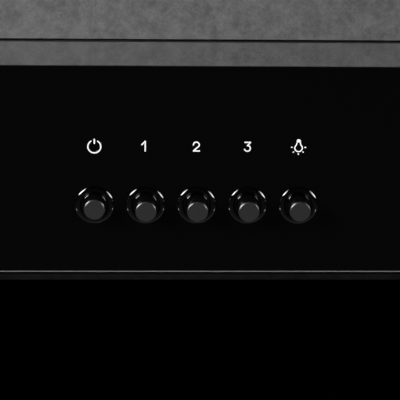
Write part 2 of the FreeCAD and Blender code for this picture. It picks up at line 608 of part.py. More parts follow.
def make_filter(name, index):
    """A mesh cassette: rim, rear tabs that hang over the tray, and a latch pocket."""
    centre = filter_centre(index)
    half, depth, thick = number("filter_width") / 2, number("filter_depth"), size("filter_thick")
    low, rear = number("tray_low"), number("filter_rear") - size("filter_clearance")
    front = rear - depth
    rim, front_rim, skin = size("filter_rim"), size("filter_front_rim"), size("filter_skin")
    grip, play = size("mesh_grip"), size("mesh_clearance")
    outer = box_between((centre - half, front, low), (centre + half, rear, low + thick))
    outer = outer.makeFillet(size("filter_corner"),
                             [edge for edge in outer.Edges if edge.BoundBox.ZLength > thick - NEAR])
    window = box_between((centre - half + rim, front + front_rim, low - PAST),
                         (centre + half - rim, rear - rim, low + thick + PAST))
    groove = box_between((centre - half + skin, front + front_rim - grip - play, low + skin),
                         (centre + half - skin, rear - skin, low + thick - skin))
    frame = outer.cut(window).cut(groove)
    bar, bars = size("filter_bar"), int(size("filter_bars"))
    for index in range(bars):
        middle = front + front_rim + (index + 1) / (bars + 1) * (depth - front_rim - rim)
        frame = frame.fuse(box_between((centre - half + skin, middle - bar / 2, low),
                                       (centre + half - skin, middle + bar / 2, low + skin)))
    tab_low, tab_half = number("filter_hinge_z"), size("filter_tab_width") / 2
    tab_rear = rear + size("filter_clearance") + size("filter_tab")
    for side in (-1, 1):
        tab_middle = centre + side * size("filter_tab_spacing") / 2
        frame = frame.fuse(box_between((tab_middle - tab_half, rear - skin, tab_low),
                                       (tab_middle + tab_half, tab_rear, tab_low + size("tab_thick"))))
    gap, latch_front = size("latch_clearance"), front + size("latch_setback")
    latch_half, latch_rear = size("latch_width") / 2, latch_front + size("latch_depth")
    frame = frame.cut(box_between((centre - latch_half - gap, latch_front - gap, low - PAST),
                                  (centre + latch_half + gap, latch_rear + size("latch_throw") + gap,
                                   low + thick + PAST)))
    nose_half, nose_low = size("latch_nose") / 2, low + size("nose_rise")
    nose_high = nose_low + size("nose_thick")
    frame = frame.cut(box_between((centre - nose_half - gap, front - PAST, nose_low - gap),
                                  (centre + nose_half + gap, latch_front, nose_high + gap)))
    solid_node(f"filter_frame_{name}", frame.removeSplitter())
    mesh = box_between((centre - half + skin + play, front + front_rim - grip, low + skin),
                       (centre + half - skin - play, rear - skin - play, low + skin + size("mesh_thick")))
    solid_node(f"filter_mesh_{name}", mesh)
    latch = box_between((centre - latch_half, latch_front, low),
                        (centre + latch_half, latch_rear, low + thick))
    latch = latch.makeFillet(size("latch_corner"),
                             [edge for edge in latch.Edges if edge.BoundBox.ZLength > thick - NEAR])
    wall, floor = size("latch_wall"), size("latch_floor")
    dent = box_between((centre - latch_half + wall, latch_front + floor, low - PAST),
                       (centre + latch_half - wall, latch_rear - floor, low + thick / 2))
    tongue = box_between((centre - nose_half, front + size("nose_gap"), nose_low),
                         (centre + nose_half, latch_front + floor, nose_high))
    solid_node(f"filter_latch_{name}", latch.cut(dent).fuse(tongue).removeSplitter())


def make_lamps():
    low = number("tray_low")
    radius, hole, lens = size("lamp_radius"), size("lamp_hole"), size("lamp_lens")
    lip, sleeve, height = size("lamp_lip"), size("lamp_sleeve"), size("lamp_body_height")

    def spun(profile, x):
        points = [Vector(r, 0, z) for r, z in profile]
        face = Part.Face(Part.makePolygon(points + points[:1]))
        solid = face.revolve(Vector(0, 0, 0), Vector(0, 0, 1), 360)
        solid.translate(Vector(x, number("lamp_y"), low))
        return solid

    face, edge, bevel = lens - size("lens_gap"), size("lamp_edge"), size("lamp_bevel")
    back = size("lens_thick") + size("lens_air")
    bezel = [(lens, -lip / 2), (lens + edge, -lip), (radius - edge, -lip), (radius, -lip / 2), (radius, 0),
             (hole, 0), (hole, sleeve), (lens, sleeve)]
    glass = [(0, -lip / 4), (face - edge, -lip / 4), (face, 0), (face, size("lens_thick")),
             (0, size("lens_thick"))]
    body = [(0, back), (face, back), (face, sleeve), (hole, sleeve), (hole, height - bevel),
            (hole - bevel, height), (0, height)]
    for name, profile in (("lamp_bezels", bezel), ("lamp_lenses", glass), ("lamp_bodies", body)):
        pair = [spun(profile, side * number("lamp_x")) for side in (-1, 1)]
        solid_node(name, Part.makeCompound(pair))


# ----------------------------------------------------------------- blower

def make_blower_box():
    """The sheet-steel case that hangs on the wall hooks and carries the scroll."""
    body = new_body("blower_box")
    outline = new_sketch(body, "XY_Plane", "box_low")
    inset = "dims.sheet_steel"
    draw_rectangle(outline, "-dims.box_width / 2", "dims.box_width / 2", "box_front", "box_back")
    pad(body, outline, "dims.box_height")
    foot = new_sketch(body, "XY_Plane", "box_low")
    draw_rectangle(foot, "-dims.box_width / 2 - dims.box_foot", "dims.box_width / 2 + dims.box_foot",
                   "box_front - dims.box_foot", "box_back")
    pad(body, foot, "dims.sheet_steel")
    hollow = new_sketch(body, "XY_Plane", "box_low")
    draw_rectangle(hollow, f"-dims.box_width / 2 + {inset}", f"dims.box_width / 2 - {inset}",
                   f"box_front + {inset}", f"box_back - {inset}")
    pocket(body, hollow, "dims.box_height - dims.sheet_steel", reverse=True)
    outlet = new_sketch(body, "XY_Plane", "box_high")
    draw_circle(outlet, "0", "box_middle", "dims.duct_radius - dims.duct_wall")
    pocket(body, outlet, "dims.sheet_steel")
    slots = new_sketch(body, "XZ_Plane", "-box_back")
    for side in ("-", ""):
        draw_rectangle(slots, f"{side}dims.hook_spacing / 2 - dims.hook_width / 2 - dims.slot_margin",
                       f"{side}dims.hook_spacing / 2 + dims.hook_width / 2 + dims.slot_margin",
                       "dims.hook_rise - dims.slot_height", "dims.hook_rise")
    pocket(body, slots, "dims.sheet_steel * 2", symmetric=True)


def axle_centre():
    """The middle of the impeller, on its axle."""
    return Vector(0, number("box_middle") + size("scroll_shift"), number("axle_z"))


def scroll_outline(inset):
    """A four-arc spiral round the axle that opens into the straight outlet duct.

    The radius grows by an equal step each quarter turn. Y is the depth and Z the
    height in the returned face, which stands in the YZ plane.
    """
    centre = axle_centre()
    start, growth = size("scroll_start"), size("scroll_growth")
    top = number("box_high") - size("sheet_steel")
    radii = [start + growth * QUARTER * turn - inset for turn in range(4)]
    directions = [Vector(0, 1, 0), Vector(0, 0, -1), Vector(0, -1, 0)]
    points = [centre + way * radius for way, radius in zip(directions, (radii[1], radii[2], radii[3]))]
    edges = []
    for first, second, low, high in ((0, 1, radii[1], radii[2]), (1, 2, radii[2], radii[3])):
        diagonal = (directions[first] + directions[second]).normalize()
        middle = centre + diagonal * ((low + high) / 2)
        edges.append(Part.Arc(points[first], middle, points[second]).toShape())
    front = points[2]
    back = points[0]
    throat = front.y + size("duct_depth") - 2 * inset
    corner = Vector(0, throat, top)
    tongue = Vector(0, throat, centre.z + size("tongue_rise") - inset)
    edges.append(Part.makeLine(front, Vector(0, front.y, top)))
    edges.append(Part.makeLine(Vector(0, front.y, top), corner))
    edges.append(Part.makeLine(corner, tongue))
    turn = math.radians(size("tongue_turn"))
    rise = Vector(0, math.cos(turn), math.sin(turn)) * radii[0]
    edges.append(Part.Arc(tongue, centre + rise, back).toShape())
    return Part.Face(Part.Wire(Part.sortEdges(edges)[0]))


def make_scroll():
    width, wall, mouth = size("scroll_width"), size("scroll_wall"), size("scroll_mouth")
    centre = axle_centre()
    outer = scroll_outline(0).extrude(Vector(width, 0, 0))
    outer.translate(Vector(-width / 2, 0, 0))
    inner = scroll_outline(wall).extrude(Vector(width - 2 * wall, 0, 0))
    inner.translate(Vector(-width / 2 + wall, 0, 0))
    top = number("box_high") - size("sheet_steel")
    throat = inner.BoundBox.YMin
    neck = box_between((-width / 2 + wall, throat, top - wall - PAST),
                       (width / 2 - wall, throat + size("duct_depth") - 2 * wall, top + PAST))
    seam_thick = size("seam_thick")
    seam = scroll_outline(-size("seam_reach")).extrude(Vector(2 * seam_thick, 0, 0))
    seam.translate(Vector(-seam_thick, 0, 0))
    shell = outer.fuse(seam).cut(inner).cut(neck)
    bell_width, bell_depth, rounding = size("bell_width"), size("bell_depth"), size("bell_round")
    length = width + 4 * bell_depth
    bore = Part.makeCylinder(mouth, length, centre - Vector(length / 2, 0, 0), Vector(1, 0, 0))
    bells = []
    for side in (-1, 1):
        ring = Part.makeCylinder(mouth + bell_width, bell_depth, centre + Vector(side * width / 2, 0, 0),
                                 Vector(side, 0, 0))
        rim = [edge for edge in ring.Edges
               if abs(edge.BoundBox.Center.x) > width / 2 + bell_depth - NEAR]
        bells.append(ring.makeFillet(rounding, rim))
    shell = shell.fuse(bells).cut(bore)
    bounds = shell.BoundBox
    for name, low, high in (("scroll_half_left", bounds.XMin, 0), ("scroll_half_right", 0, bounds.XMax)):
        half_space = box_between((low, bounds.YMin, bounds.ZMin), (high, bounds.YMax, bounds.ZMax))
        solid_node(name, shell.common(half_space).removeSplitter())


def blade_face(radius):
    """The section of one forward-curved blade, its tip on the impeller's rim."""
    chord, thick, lean = size("blade_chord"), size("blade_sheet"), size("blade_lean")
    tip = Vector(0, 0, radius)
    root = Vector(0, lean, radius - chord)
    belly = Vector(0, -size("blade_bow"), radius - chord / 2)
    drop = Vector(0, -thick, 0)
    outer = Part.Arc(tip, belly, root).toShape()
    inner = Part.Arc(root + drop, belly + drop, tip + drop).toShape()
    ends = [Part.makeLine(root, root + drop), Part.makeLine(tip + drop, tip)]
    return Part.Face(Part.Wire([outer, ends[0], inner, ends[1]]))


def make_impeller():
    """A double-inlet wheel: blades between two end rings, carried by a middle plate."""
    centre = axle_centre()
    axis = Vector(1, 0, 0)
    width, ring, radius = size("impeller_width"), size("impeller_ring"), size("impeller_radius")
    chord, plate = size("blade_chord"), size("hub_plate")

    def disc(outer, inner, start, length):
        base = centre + axis * start
        solid = Part.makeCylinder(outer, length, base, axis)
        return solid.cut(Part.makeCylinder(inner, length, base, axis)) if inner else solid

    shaft = size("shaft_radius")
    middle = disc(radius, shaft, -plate / 2, plate)
    boss = disc(size("hub_radius"), shaft, -size("hub_length") / 2, size("hub_length"))
    rings = [disc(radius + size("ring_margin"), radius - chord, start, ring)
             for start in (-width / 2, width / 2 - ring)]
    length = width - 2 * size("blade_inset")
    blade = blade_face(radius).extrude(axis * length)
    blade.translate(centre - axis * length / 2)
    count = int(size("blade_count"))
    blades = []
    for index in range(count):
        copy = blade.copy()
        copy.rotate(centre, axis, 360 * index / count)
        blades.append(copy)
    solid_node("impeller", middle.fuse([boss] + rings + blades))
    length = size("hub_length") + size("motor_gap") + size("motor_length") - size("shaft_end_gap")
    rod = Part.makeCylinder(shaft, length, centre + axis * size("hub_length") / 2, -axis)
    solid_node("motor_shaft", rod)


def make_motor():
    """The motor, in the wheel's left inlet, on a three-armed bracket."""
    centre = axle_centre()
    near = -(size("hub_length") / 2 + size("motor_gap"))
    length, radius = size("motor_length"), size("motor_radius")
    axis = Vector(-1, 0, 0)
    base = centre + Vector(near, 0, 0)
    can = Part.makeCylinder(radius, length, base, axis)
    can = can.makeFillet(size("motor_round"), [edge for edge in can.Edges if edge.isClosed()])
    boss = Part.makeCylinder(size("motor_boss"), length + size("boss_proud"), base, axis)
    belt_base, belt = base + axis * size("belt_start"), size("belt_width")
    groove = Part.makeCylinder(radius + PAST, belt, belt_base, axis)
    groove = groove.cut(Part.makeCylinder(radius - size("belt_depth"), belt, belt_base, axis))
    bore = Part.makeCylinder(size("shaft_radius") + size("shaft_clearance"), length - size("bore_floor"),
                             base, axis)
    solid_node("motor_casing", can.fuse(boss).cut(groove).cut(bore))
    make_motor_bracket(centre, radius)


def make_motor_bracket(centre, radius):
    """A clamp round the motor with three arms, each held by a screw through a rubber bush."""
    axis = Vector(1, 0, 0)
    plate, bush_radius, bush_height = size("bracket_plate"), size("bush_radius"), size("bush_height")
    bell, small, clamp = size("bell_depth"), size("small_screw"), size("clamp_width")
    start = centre - axis * (size("scroll_width") / 2 + bell + bush_height)
    reach = size("scroll_mouth") + bush_radius + size("bush_offset")
    spot = start - axis * plate + Vector(0, 0, reach)
    foot = spot + axis * plate
    land = bush_radius + size("bush_land")
    arm = box_between((spot.x, centre.y - size("bracket_arm") / 2, centre.z),
                      (foot.x, centre.y + size("bracket_arm") / 2, spot.z))
    arm = arm.fuse(Part.makeCylinder(land, plate, spot, axis))
    arm = arm.cut(Part.makeCylinder(small + size("screw_clearance"), plate, spot, axis))
    bush = Part.makeCylinder(bush_radius, bush_height + bell, foot, axis)
    neck_base, neck = foot + axis * size("bush_neck_start"), size("bush_neck")
    groove = Part.makeCylinder(land, neck, neck_base, axis)
    groove = groove.cut(Part.makeCylinder(bush_radius - size("belt_depth"), neck, neck_base, axis))
    bush = bush.cut(groove).cut(Part.makeCylinder(small, bush_height + bell, foot, axis))
    screw = screw_shape(small - size("screw_fit"), plate + bush_height + bell - size("screw_tip_gap"),
                        size("small_head"), size("small_head_height"))
    screw.Placement = Placement(spot, Rotation(Vector(0, 0, 1), -90))
    count = int(size("arm_count"))
    groups = {"arms": [], "bushes": [], "screws": []}
    for index in range(count):
        for piece, group in ((arm, "arms"), (bush, "bushes"), (screw, "screws")):
            turned_piece = piece.copy()
            turned_piece.rotate(centre, axis, size("arm_turn") + 360 * index / count)
            groups[group].append(turned_piece)
    hub = Part.makeCylinder(radius + size("bracket_ring"), clamp, start, axis)
    seat = Part.makeCylinder(radius, plate + clamp, start - axis * plate, axis)
    solid_node("motor_bracket", hub.fuse(groups["arms"]).cut(seat))
    solid_node("motor_bushes", Part.makeCompound(groups["bushes"]))
    solid_node("motor_screws", Part.makeCompound(groups["screws"]))


def make_inlet_guard():
    """A stamped guard over the right-hand inlet: flat rings on three spokes."""
    wire, rings, spokes = size("guard_wire"), int(size("guard_rings")), int(size("spoke_count"))
    centre = axle_centre() + Vector(size("scroll_width") / 2 + size("bell_depth"), 0, 0)
    outer, sheet_thick = size("scroll_mouth") + size("guard_margin"), size("guard_sheet")
    axis = Vector(1, 0, 0)
    pieces = []
    for index in range(rings):
        radius = outer * (index + 1) / rings
        ring = Part.makeCylinder(radius, sheet_thick, centre, axis)
        pieces.append(ring.cut(Part.makeCylinder(radius - wire, sheet_thick, centre, axis)))
    for index in range(spokes):
        spoke = box_between((centre.x, centre.y - wire / 2, centre.z),
                            (centre.x + sheet_thick, centre.y + wire / 2, centre.z + outer - wire / 2))
        spoke.rotate(centre, axis, 360 * index / spokes)
        pieces.append(spoke)
    solid_node("inlet_guard", pieces[0].fuse(pieces[1:]).removeSplitter())


def make_outlet():
    """The collar for the duct, with a bar across it that the flaps' pins sit in."""
    centre = Vector(0, number("box_middle"), number("box_high"))
    radius, wall, length = size("duct_radius"), size("duct_wall"), size("duct_length")
    up, across = Vector(0, 0, 1), Vector(1, 0, 0)
    half, flange_thick = size("duct_flange"), size("duct_flange_thick")
    flange = box_between((-half, centre.y - half, centre.z), (half, centre.y + half, centre.z + flange_thick))
    flange = flange.makeFillet(size("duct_flange_corner"),
                               [edge for edge in flange.Edges if edge.BoundBox.ZLength > flange_thick - NEAR])
    collar = Part.makeCylinder(radius, length, centre, up).fuse(flange)
    collar = collar.cut(Part.makeCylinder(radius - wall, length, centre, up))
    rise, offset = size("flap_rise"), size("flap_pin_offset")
    pin, knuckle = size("flap_pin"), size("flap_knuckle")
    inner, ledge_thick = radius - wall, size("ledge_thick")
    ledge_base = centre + up * (rise - knuckle - size("ledge_gap") - ledge_thick)
    ledge = Part.makeCylinder(radius - wall / 2, ledge_thick, ledge_base, up)
    ledge = ledge.cut(Part.makeCylinder(inner - size("ledge_width"), ledge_thick, ledge_base, up))
    bar = size("bar_width") / 2
    pieces = [ledge, box_between((-inner, centre.y - bar, centre.z + flange_thick),
                                 (inner, centre.y + bar, centre.z + rise + size("bar_rise")))]
    reach = math.sqrt(inner ** 2 - offset ** 2)
    ear, ear_thick = reach - size("ear_inset"), size("ear_thick")
    for low in (-ear, ear - ear_thick):
        pieces.append(box_between((low, centre.y - offset - knuckle, centre.z + flange_thick),
                                  (low + ear_thick, centre.y + offset + knuckle, centre.z + rise + knuckle)))
    collar = collar.fuse(pieces)
    pins = [Part.makeCylinder(pin, 2 * ear, Vector(-ear, centre.y + side * offset, centre.z + rise), across)
            for side in (-1, 1)]
    solid_node("outlet_collar", collar.cut(pins).removeSplitter())
    solid_node("flap_pins", Part.makeCompound(pins))
    for name, side in (("backdraft_flap_front", -1), ("backdraft_flap_rear", 1)):
        solid_node(name, make_flap(centre, side, ear - ear_thick - size("flap_end_gap")))


def make_flap(centre, side, half_run):
    """Half a disc with a rolled knuckle that turns on its pin."""
    radius = size("duct_radius") - size("duct_wall") - size("flap_clearance")
    rise, offset, thick = size("flap_rise"), size("flap_pin_offset"), size("flap_thick")
    pin, knuckle, across = size("flap_pin"), size("flap_knuckle"), Vector(1, 0, 0)
    low, start = centre.z + rise - knuckle, centre.y + side * offset
    disc = Part.makeCylinder(radius, thick, Vector(0, centre.y, low), Vector(0, 0, 1))
    far = start + side * radius
    blade = disc.common(box_between((-radius, min(start, far), low), (radius, max(start, far), low + thick)))
    roll = Part.makeCylinder(knuckle, 2 * half_run, Vector(-half_run, start, centre.z + rise), across)
    flap = blade.fuse(roll)
    bore = Part.makeCylinder(pin + size("plunger_clearance"), 2 * half_run,
                             Vector(-half_run, start, centre.z + rise), across)
    notch_far = start + side * (knuckle + size("flap_notch"))
    for left in (-radius - PAST, half_run):
        flap = flap.cut(box_between((left, min(centre.y, notch_far), low - PAST),
                                    (left + radius + PAST - half_run, max(centre.y, notch_far),
                                     low + thick + PAST)))
    return flap.cut(bore).removeSplitter()


# ---------------------------------------------------------------- chimney

def chimney_section(name, inset, low, high):
    """A three-sided cover with returns along its two rear edges."""
    body = new_body(name)
    half = f"(chimney_width / 2 - {inset})"
    front = f"chimney_front + {inset}"
    rear = f"-dims.chimney_wall_gap - {inset}"
    thick = "dims.chimney_sheet"
    outline = new_sketch(body, "XY_Plane", low)
    draw_polygon(outline, [
        (f"-{half}", front), (half, front), (half, rear), (f"{half} - dims.chimney_return", rear),
        (f"{half} - dims.chimney_return", f"{rear} - {thick}"), (f"{half} - {thick}", f"{rear} - {thick}"),
        (f"{half} - {thick}", f"{front} + {thick}"), (f"-{half} + {thick}", f"{front} + {thick}"),
        (f"-{half} + {thick}", f"{rear} - {thick}"), (f"-{half} + dims.chimney_return", f"{rear} - {thick}"),
        (f"-{half} + dims.chimney_return", rear), (f"-{half}", rear)])
    pad(body, outline, high)
    return body


def make_chimney():
    chimney_section("chimney_lower", "0", "chimney_low", "dims.chimney_height")
    upper = chimney_section("chimney_upper", "upper_inset", "upper_low", "dims.chimney_height")
    screws = new_sketch(upper, "YZ_Plane")
    draw_circle(screws, "-dims.wall_bracket_tab", "upper_top - dims.wall_bracket_height / 2",
                "dims.small_screw + dims.screw_fit")
    pocket(upper, screws, "chimney_width", symmetric=True)
    vent = new_sketch(upper, "YZ_Plane")
    high = "upper_top - dims.vent_drop - (dims.vent_count - 1) * dims.vent_pitch"
    draw_rectangle(vent, "(chimney_front - dims.vent_width) / 2", "(chimney_front + dims.vent_width) / 2",
                   f"{high} - dims.vent_height", high)
    cut = pocket(upper, vent, "chimney_width", symmetric=True)
    row_of(upper, cut, "Z_Axis", "dims.vent_pitch", "dims.vent_count")


def make_wall_bracket():
    """The bracket that holds the upper chimney to the wall by its two side tabs."""
    body = new_body("chimney_wall_bracket")
    half = "(chimney_width / 2 - upper_inset - dims.chimney_sheet - dims.bracket_slip)"
    thick = "dims.wall_bracket_sheet"
    tab = "(2 * dims.wall_bracket_tab)"
    outline = new_sketch(body, "XY_Plane", "upper_top - dims.wall_bracket_height")
    notch = f"({half} - dims.chimney_return - dims.bracket_return_gap)"
    step = "(dims.chimney_wall_gap + upper_inset + dims.chimney_sheet + dims.bracket_return_gap)"
    right = [(notch, "0"), (notch, f"-{step}"), (half, f"-{step}"), (half, f"-{tab}"),
             (f"{half} - {thick}", f"-{tab}"), (f"{half} - {thick}", f"-{step} - {thick}"),
             (f"{notch} - {thick}", f"-{step} - {thick}"), (f"{notch} - {thick}", f"-{thick}")]
    left = [(f"-({x})", y) for x, y in reversed(right)]
    draw_polygon(outline, right + left)
    pad(body, outline, "dims.wall_bracket_height")
    holes = new_sketch(body, "XZ_Plane")
    for side in ("-", ""):
        draw_circle(holes, f"{side}dims.hook_spacing / 2", "upper_top - dims.wall_bracket_height / 2",
                    "dims.wall_screw")
    pocket(body, holes, f"2 * {thick}", symmetric=True)
    tabs = new_sketch(body, "YZ_Plane")
    draw_circle(tabs, "-dims.wall_bracket_tab", "upper_top - dims.wall_bracket_height / 2",
                "dims.small_screw + dims.screw_fit")
    pocket(body, tabs, "chimney_width", symmetric=True)


def make_chimney_screws():
    face = number("chimney_width") / 2 - number("upper_inset")
    height = number("upper_top") - size("wall_bracket_height") / 2
    screw = screw_shape(size("small_screw"), size("side_screw_length"), size("small_head"),
                        size("small_head_height"))
    spots = [(Vector(side * face, -size("wall_bracket_tab"), height), Rotation(Vector(0, 0, 1), 90 * side))
             for side in (-1, 1)]
    screw_group("chimney_screws", screw, spots)


# ------------------------------------------------------------ hanging, supply

def make_wall_hooks():
    """Two bent hooks that are screwed to the wall. The blower box hangs on them."""
    width, height, thick = size("hook_width"), size("hook_height"), size("hook_sheet")
    arm, tip, rise = size("hook_arm"), size("hook_tip"), size("hook_rise")
    hooks = []
    for side in (-1, 1):
        x = side * size("hook_spacing") / 2
        plate = box_between((x - width / 2, -thick, rise - height), (x + width / 2, 0, rise))
        shelf = box_between((x - width / 2, -arm, rise - thick), (x + width / 2, 0, rise))
        lug = box_between((x - width / 2, -arm, rise - thick), (x + width / 2, -arm + thick, rise + tip))
        hole = Part.makeCylinder(size("wall_screw"), thick, Vector(x, 0, 0), Vector(0, -1, 0))
        hooks.append(plate.fuse([shelf, lug]).cut(hole).removeSplitter())
    solid_node("wall_hooks", Part.makeCompound(hooks))


def make_terminal_box():
    """The supply's terminal box, under the canopy's top panel."""
    width, depth, height = size("terminal_width"), size("terminal_depth"), size("terminal_height")
    wall, top = size("terminal_wall"), number("top_under")
    x, y = number("terminal_x"), -size("terminal_setback")
    outer = box_between((x, y - depth, top - height), (x + width, y, top))
    corner = size("terminal_corner")
    outer = outer.makeFillet(corner, [edge for edge in outer.Edges if edge.BoundBox.ZLength > height - NEAR])
    inner = box_between((x + wall, y - depth + wall, top - height - PAST),
                        (x + width - wall, y - wall, top - wall))
    solid_node("terminal_box", outer.cut(inner))
    lid = box_between((x, y - depth, top - height - wall), (x + width, y, top - height))
    lid = lid.makeFillet(corner, [edge for edge in lid.Edges if edge.BoundBox.ZLength > wall - NEAR])
    solid_node("terminal_lid", lid)


def make_cable_gland():
    """The supply cable's entry, on top of the blower box."""
    nut, nut_height = size("gland_nut"), size("gland_nut_height")
    middle = Vector((size("box_width") / 2 + size("duct_flange")) / 2,
                    number("box_back") - size("gland_inset"), number("box_high"))
    up, radius = Vector(0, 0, 1), size("gland_radius")
    corners = [middle + Vector(nut * math.cos(turn), nut * math.sin(turn), 0)
               for turn in (math.radians(60 * index) for index in range(7))]
    gland = Part.Face(Part.makePolygon(corners)).extrude(up * nut_height)
    gland = gland.fuse(Part.makeCone(radius, radius - size("gland_taper"), size("gland_length") - nut_height,
                                     middle + up * nut_height, up))
    bore = Part.makeCylinder(size("gland_bore"), size("gland_length"), middle, up)
    solid_node("cable_gland", gland.cut(bore))


def make_capacitor():
    """The motor's capacitor, upright in the blower box's front left corner."""
    radius, sheet_thick = size("capacitor_radius"), size("sheet_steel")
    seat = Vector(-size("box_width") / 2 + sheet_thick + radius,
                  number("box_front") + sheet_thick + radius + size("capacitor_gap"),
                  number("box_low") + size("capacitor_rise"))
    can = Part.makeCylinder(radius, size("capacitor_length"), seat, Vector(0, 0, 1))
    solid_node("capacitor", can.makeFillet(size("capacitor_round"),
                                           [edge for edge in can.Edges if edge.isClosed()]))


def build_all():
    make_top_panel()
    make_side_panel("canopy_side_left", -1)
    make_side_panel("canopy_side_right", 1)
    make_back_panel()
    make_front_channel()
    make_control_glass()
    make_suction_frame()
    make_collars()
    make_keys()
    make_switch_bank()
    make_switch_bracket()
    make_bracket_screws()
    make_control_cover()
    for index, name in enumerate(FILTERS):
        make_filter(name, index)
    make_lamps()
    make_blower_box()
    make_scroll()
    make_impeller()
    make_motor()
    make_inlet_guard()
    make_outlet()
    make_chimney()
    make_wall_bracket()
    make_chimney_screws()
    make_wall_hooks()
    make_terminal_box()
    make_cable_gland()
    make_capacitor()


build_all()
doc.recompute()

for item in doc.Objects:
    if any(word in item.State for word in ("Invalid", "Error")):
        raise ValueError(f"{item.Label} is {item.State}")

nodes = [item for item in doc.Objects if item.TypeId in ("PartDesign::Body", "Part::Feature")]
for node in nodes:
    if node.Shape.isNull() or not node.Shape.isValid():
        raise ValueError(f"{node.Label} has no valid shape")
    node.Shape.exportStep(f"parts/{node.Label}.step")
print(len(nodes), "nodes")
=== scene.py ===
import json
import math

import bmesh
import bpy
from mathutils import Matrix, Vector


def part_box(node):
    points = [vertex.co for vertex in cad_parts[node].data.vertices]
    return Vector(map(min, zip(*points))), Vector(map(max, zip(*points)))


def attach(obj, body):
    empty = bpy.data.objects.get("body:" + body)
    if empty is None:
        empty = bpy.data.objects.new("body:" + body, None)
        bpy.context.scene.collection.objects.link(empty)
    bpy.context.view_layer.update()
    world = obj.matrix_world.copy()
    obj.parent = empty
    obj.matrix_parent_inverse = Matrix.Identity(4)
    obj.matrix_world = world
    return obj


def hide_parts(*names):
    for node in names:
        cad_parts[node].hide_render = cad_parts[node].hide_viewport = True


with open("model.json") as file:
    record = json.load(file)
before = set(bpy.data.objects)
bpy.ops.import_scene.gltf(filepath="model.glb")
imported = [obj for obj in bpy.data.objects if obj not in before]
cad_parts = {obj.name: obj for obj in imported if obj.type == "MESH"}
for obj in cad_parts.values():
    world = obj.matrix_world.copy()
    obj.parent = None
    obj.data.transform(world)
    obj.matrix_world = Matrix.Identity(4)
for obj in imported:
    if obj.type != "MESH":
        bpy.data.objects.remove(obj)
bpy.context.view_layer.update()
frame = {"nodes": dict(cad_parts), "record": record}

# ---------------------------------------------------------------- measurements
# Metres, in the hood's frame: X along the wall, -Y out of it, Z up.

MM = 0.001
TILT = math.radians(10.5)
GLASS_HEIGHT = 84 * MM
TOP = -110 * MM
FRONT = -500 * MM
KEY_PITCH = 20 * MM
KEY_RISE = 28.2 * MM
FOOT = Vector((0, FRONT + GLASS_HEIGHT * math.sin(TILT), TOP - GLASS_HEIGHT * math.cos(TILT)))
LEAN = Matrix.Translation(FOOT) @ Matrix.Rotation(TILT, 4, "X")
KEYS = ["power", "speed_1", "speed_2", "speed_3", "light"]
MIDDLE_KEY = 2
CAP = "button_cap_"  # how the names of the key caps begin
FILTERS = ["left", "middle", "right"]


# ------------------------------------------------------------------- materials

MIX_FIRST, MIX_SECOND, MIX_RESULT = 6, 7, 2  # the colour sockets of a mix node
INPUTS = {
    "colour": "Base Color", "metal": "Metallic", "rough": "Roughness", "ior": "IOR",
    "specular": "Specular IOR Level", "coat": "Coat Weight", "coat_rough": "Coat Roughness",
    "glow": "Emission Color", "glow_strength": "Emission Strength",
}


